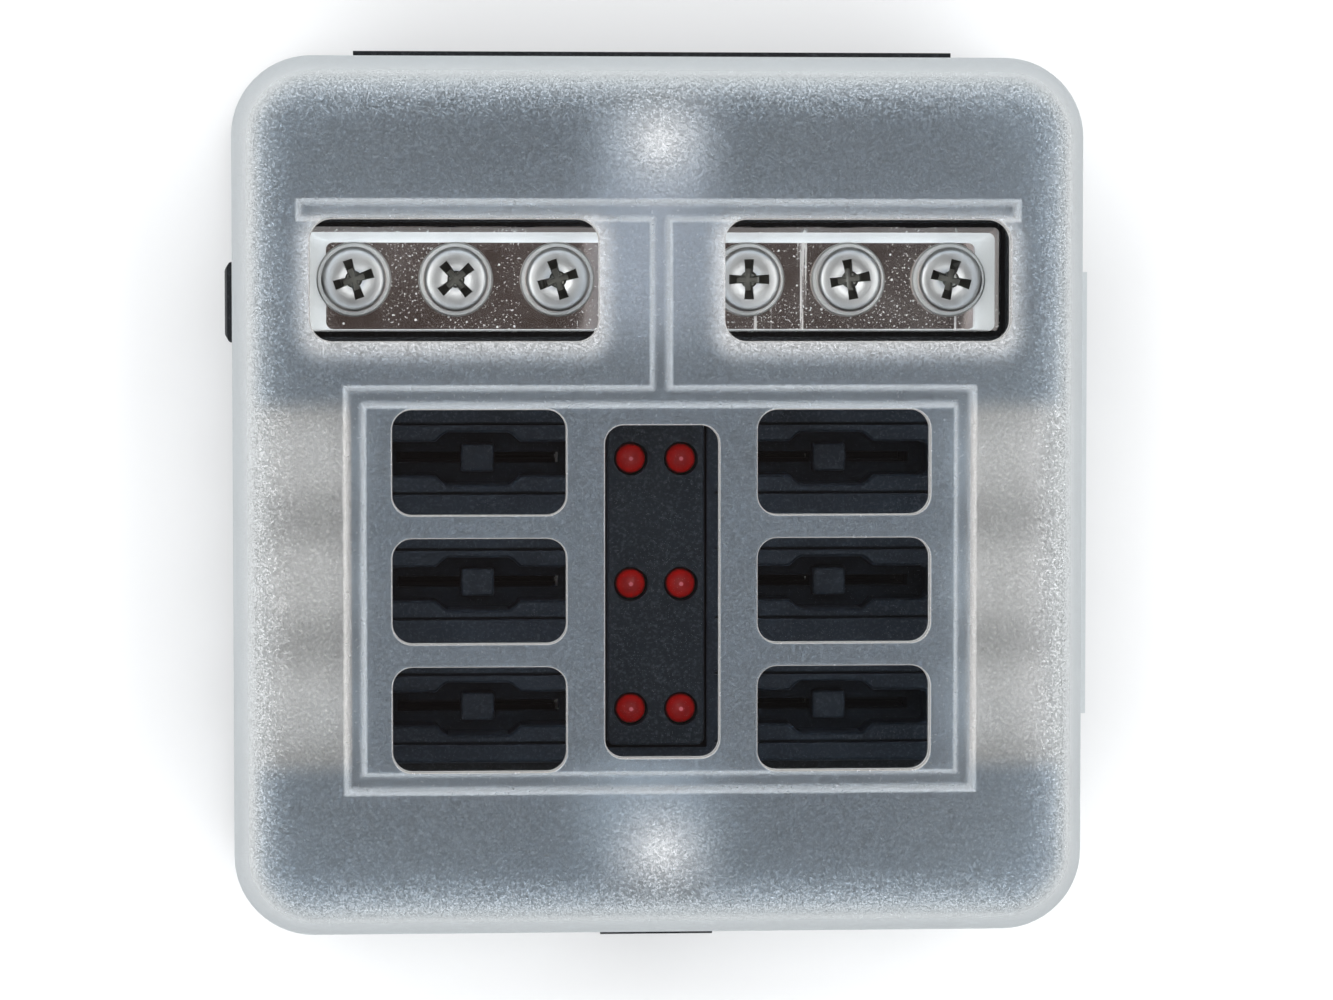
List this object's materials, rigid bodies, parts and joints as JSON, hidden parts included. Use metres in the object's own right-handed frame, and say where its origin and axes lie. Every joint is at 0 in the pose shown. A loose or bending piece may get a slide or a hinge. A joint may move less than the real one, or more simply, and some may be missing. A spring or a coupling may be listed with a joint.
{
  "type": "fuse box panel",
  "caption": "Square blade-fuse panel with a frosted clip-on cover, empty fuse sockets, indicator lights, a negative bus bar with screws and stud terminals.",
  "frame": {"origin": "middle of the footprint on the mounting plane", "axes": "+Z out of the mounting plane through the cover's windows, +Y towards the negative bus end, +X to the right seen through the windows"},
  "size_m": [0.0856, 0.0882, 0.038],
  "materials": {
    "black_housing": "fine-textured black moulding",
    "black_block": "satin black moulding",
    "frosted_cover": "frosted translucent polycarbonate with clear windows",
    "nickel_plate": "bright nickel plating with fine scratches",
    "tin_plate": "dull tin plating",
    "zinc_steel": "zinc-plated steel",
    "brass_contact": "plain",
    "circuit_board": "solder mask",
    "red_lens": "tinted clear lens"
  },
  "bodies": {
    "base": {"base_housing": "black_housing", "fuse_block": "black_block", "positive_bus": "tin_plate", "negative_bus": "nickel_plate", "positive_stud": "zinc_steel", "negative_stud": "zinc_steel", "led_bezel": "black_housing", "led_board": "circuit_board", "block_screw_1": "zinc_steel", "block_screw_2": "zinc_steel", "feed_contact_left_1": "brass_contact", "feed_contact_left_2": "brass_contact", "feed_contact_left_3": "brass_contact", "feed_contact_right_1": "brass_contact", "feed_contact_right_2": "brass_contact", "feed_contact_right_3": "brass_contact", "load_terminal_left_1": "tin_plate", "load_terminal_left_2": "tin_plate", "load_terminal_left_3": "tin_plate", "load_terminal_right_1": "tin_plate", "load_terminal_right_2": "tin_plate", "load_terminal_right_3": "tin_plate", "led_left_1": "red_lens", "led_left_2": "red_lens", "led_left_3": "red_lens", "led_right_1": "red_lens", "led_right_2": "red_lens", "led_right_3": "red_lens"},
    "cover": {"cover": "frosted_cover"},
    "latch_left": {"latch_left": "black_housing"},
    "latch_right": {"latch_right": "black_housing"},
    "bus_washer_1": {"bus_washer_1": "zinc_steel"},
    "bus_screw_1": {"bus_screw_1": "zinc_steel"},
    "bus_washer_2": {"bus_washer_2": "zinc_steel"},
    "bus_screw_2": {"bus_screw_2": "zinc_steel"},
    "bus_washer_3": {"bus_washer_3": "zinc_steel"},
    "bus_screw_3": {"bus_screw_3": "zinc_steel"},
    "bus_washer_4": {"bus_washer_4": "zinc_steel"},
    "bus_screw_4": {"bus_screw_4": "zinc_steel"},
    "bus_washer_5": {"bus_washer_5": "zinc_steel"},
    "bus_screw_5": {"bus_screw_5": "zinc_steel"},
    "bus_washer_6": {"bus_washer_6": "zinc_steel"},
    "bus_screw_6": {"bus_screw_6": "zinc_steel"},
    "load_washer_left_1": {"load_washer_left_1": "zinc_steel"},
    "load_screw_left_1": {"load_screw_left_1": "zinc_steel"},
    "load_washer_left_2": {"load_washer_left_2": "zinc_steel"},
    "load_screw_left_2": {"load_screw_left_2": "zinc_steel"},
    "load_washer_left_3": {"load_washer_left_3": "zinc_steel"},
    "load_screw_left_3": {"load_screw_left_3": "zinc_steel"},
    "load_washer_right_1": {"load_washer_right_1": "zinc_steel"},
    "load_screw_right_1": {"load_screw_right_1": "zinc_steel"},
    "load_washer_right_2": {"load_washer_right_2": "zinc_steel"},
    "load_screw_right_2": {"load_screw_right_2": "zinc_steel"},
    "load_washer_right_3": {"load_washer_right_3": "zinc_steel"},
    "load_screw_right_3": {"load_screw_right_3": "zinc_steel"},
    "negative_lock_washer": {"negative_lock_washer": "zinc_steel"},
    "negative_nut": {"negative_nut": "zinc_steel"},
    "positive_lock_washer": {"positive_lock_washer": "zinc_steel"},
    "positive_nut": {"positive_nut": "zinc_steel"}
  },
  "joints": [
    {"name": "cover_lift", "type": "slide", "parent": "base", "child": "cover", "axis": [0, 0, 1], "range_m": [0, 0.045]},
    {"name": "latch_left_press", "type": "hinge", "parent": "base", "child": "latch_left", "pos_m": [-0.0416, 0.019, 0.0039], "axis": [0, 1, 0], "range_deg": [0, 3], "stiffness_Nm_per_rad": 0.01},
    {"name": "latch_right_press", "type": "hinge", "parent": "base", "child": "latch_right", "pos_m": [0.0416, 0.019, 0.0039], "axis": [0, -1, 0], "range_deg": [0, 3], "stiffness_Nm_per_rad": 0.01},
    {"name": "bus_washer_1_rise", "type": "slide", "parent": "base", "child": "bus_washer_1", "axis": [0, 0, 1], "range_m": [0, 0.0035]},
    {"name": "bus_screw_1_turn", "type": "hinge", "parent": "bus_washer_1", "child": "bus_screw_1", "pos_m": [-0.03, 0.0213, 0.021], "axis": [0, 0, 1], "range_deg": [0, 1802]},
    {"name": "bus_washer_2_rise", "type": "slide", "parent": "base", "child": "bus_washer_2", "axis": [0, 0, 1], "range_m": [0, 0.0035]},
    {"name": "bus_screw_2_turn", "type": "hinge", "parent": "bus_washer_2", "child": "bus_screw_2", "pos_m": [-0.0198, 0.0213, 0.021], "axis": [0, 0, 1], "range_deg": [0, 1802]},
    {"name": "bus_washer_3_rise", "type": "slide", "parent": "base", "child": "bus_washer_3", "axis": [0, 0, 1], "range_m": [0, 0.0035]},
    {"name": "bus_screw_3_turn", "type": "hinge", "parent": "bus_washer_3", "child": "bus_screw_3", "pos_m": [-0.0096, 0.0213, 0.021], "axis": [0, 0, 1], "range_deg": [0, 1802]},
    {"name": "bus_washer_4_rise", "type": "slide", "parent": "base", "child": "bus_washer_4", "axis": [0, 0, 1], "range_m": [0, 0.0035]},
    {"name": "bus_screw_4_turn", "type": "hinge", "parent": "bus_washer_4", "child": "bus_screw_4", "pos_m": [0.0096, 0.0213, 0.021], "axis": [0, 0, 1], "range_deg": [0, 1802]},
    {"name": "bus_washer_5_rise", "type": "slide", "parent": "base", "child": "bus_washer_5", "axis": [0, 0, 1], "range_m": [0, 0.0035]},
    {"name": "bus_screw_5_turn", "type": "hinge", "parent": "bus_washer_5", "child": "bus_screw_5", "pos_m": [0.0198, 0.0213, 0.021], "axis": [0, 0, 1], "range_deg": [0, 1802]},
    {"name": "bus_washer_6_rise", "type": "slide", "parent": "base", "child": "bus_washer_6", "axis": [0, 0, 1], "range_m": [0, 0.0035]},
    {"name": "bus_screw_6_turn", "type": "hinge", "parent": "bus_washer_6", "child": "bus_screw_6", "pos_m": [0.03, 0.0213, 0.021], "axis": [0, 0, 1], "range_deg": [0, 1802]},
    {"name": "load_washer_left_1_rise", "type": "slide", "parent": "base", "child": "load_washer_left_1", "axis": [0, 0, 1], "range_m": [0, 0.0035]},
    {"name": "load_screw_left_1_turn", "type": "hinge", "parent": "load_washer_left_1", "child": "load_screw_left_1", "pos_m": [-0.036, 0.00345, 0.021], "axis": [0, 0, 1], "range_deg": [0, 1802]},
    {"name": "load_washer_left_2_rise", "type": "slide", "parent": "base", "child": "load_washer_left_2", "axis": [0, 0, 1], "range_m": [0, 0.0035]},
    {"name": "load_screw_left_2_turn", "type": "hinge", "parent": "load_washer_left_2", "child": "load_screw_left_2", "pos_m": [-0.036, -0.00905, 0.021], "axis": [0, 0, 1], "range_deg": [0, 1802]},
    {"name": "load_washer_left_3_rise", "type": "slide", "parent": "base", "child": "load_washer_left_3", "axis": [0, 0, 1], "range_m": [0, 0.0035]},
    {"name": "load_screw_left_3_turn", "type": "hinge", "parent": "load_washer_left_3", "child": "load_screw_left_3", "pos_m": [-0.036, -0.02155, 0.021], "axis": [0, 0, 1], "range_deg": [0, 1802]},
    {"name": "load_washer_right_1_rise", "type": "slide", "parent": "base", "child": "load_washer_right_1", "axis": [0, 0, 1], "range_m": [0, 0.0035]},
    {"name": "load_screw_right_1_turn", "type": "hinge", "parent": "load_washer_right_1", "child": "load_screw_right_1", "pos_m": [0.036, 0.00345, 0.021], "axis": [0, 0, 1], "range_deg": [0, 1802]},
    {"name": "load_washer_right_2_rise", "type": "slide", "parent": "base", "child": "load_washer_right_2", "axis": [0, 0, 1], "range_m": [0, 0.0035]},
    {"name": "load_screw_right_2_turn", "type": "hinge", "parent": "load_washer_right_2", "child": "load_screw_right_2", "pos_m": [0.036, -0.00905, 0.021], "axis": [0, 0, 1], "range_deg": [0, 1802]},
    {"name": "load_washer_right_3_rise", "type": "slide", "parent": "base", "child": "load_washer_right_3", "axis": [0, 0, 1], "range_m": [0, 0.0035]},
    {"name": "load_screw_right_3_turn", "type": "hinge", "parent": "load_washer_right_3", "child": "load_screw_right_3", "pos_m": [0.036, -0.02155, 0.021], "axis": [0, 0, 1], "range_deg": [0, 1802]},
    {"name": "negative_lock_washer_rise", "type": "slide", "parent": "base", "child": "negative_lock_washer", "axis": [0, 0, 1], "range_m": [0, 0.0048]},
    {"name": "negative_nut_turn", "type": "hinge", "parent": "negative_lock_washer", "child": "negative_nut", "pos_m": [0, 0.0348, 0.021], "axis": [0, 0, 1], "range_deg": [0, 2162]},
    {"name": "positive_lock_washer_rise", "type": "slide", "parent": "base", "child": "positive_lock_washer", "axis": [0, 0, 1], "range_m": [0, 0.0048]},
    {"name": "positive_nut_turn", "type": "hinge", "parent": "positive_lock_washer", "child": "positive_nut", "pos_m": [0, -0.0348, 0.021], "axis": [0, 0, 1], "range_deg": [0, 2162]}
  ],
  "couplings": [
    {"joint": "bus_screw_1_turn", "follows": "bus_washer_1_rise", "rad_per_m": 8976},
    {"joint": "bus_screw_2_turn", "follows": "bus_washer_2_rise", "rad_per_m": 8976},
    {"joint": "bus_screw_3_turn", "follows": "bus_washer_3_rise", "rad_per_m": 8976},
    {"joint": "bus_screw_4_turn", "follows": "bus_washer_4_rise", "rad_per_m": 8976},
    {"joint": "bus_screw_5_turn", "follows": "bus_washer_5_rise", "rad_per_m": 8976},
    {"joint": "bus_screw_6_turn", "follows": "bus_washer_6_rise", "rad_per_m": 8976},
    {"joint": "load_screw_left_1_turn", "follows": "load_washer_left_1_rise", "rad_per_m": 8976},
    {"joint": "load_screw_left_2_turn", "follows": "load_washer_left_2_rise", "rad_per_m": 8976},
    {"joint": "load_screw_left_3_turn", "follows": "load_washer_left_3_rise", "rad_per_m": 8976},
    {"joint": "load_screw_right_1_turn", "follows": "load_washer_right_1_rise", "rad_per_m": 8976},
    {"joint": "load_screw_right_2_turn", "follows": "load_washer_right_2_rise", "rad_per_m": 8976},
    {"joint": "load_screw_right_3_turn", "follows": "load_washer_right_3_rise", "rad_per_m": 8976},
    {"joint": "negative_nut_turn", "follows": "negative_lock_washer_rise", "rad_per_m": 7854},
    {"joint": "positive_nut_turn", "follows": "positive_lock_washer_rise", "rad_per_m": 7854}
  ]
}
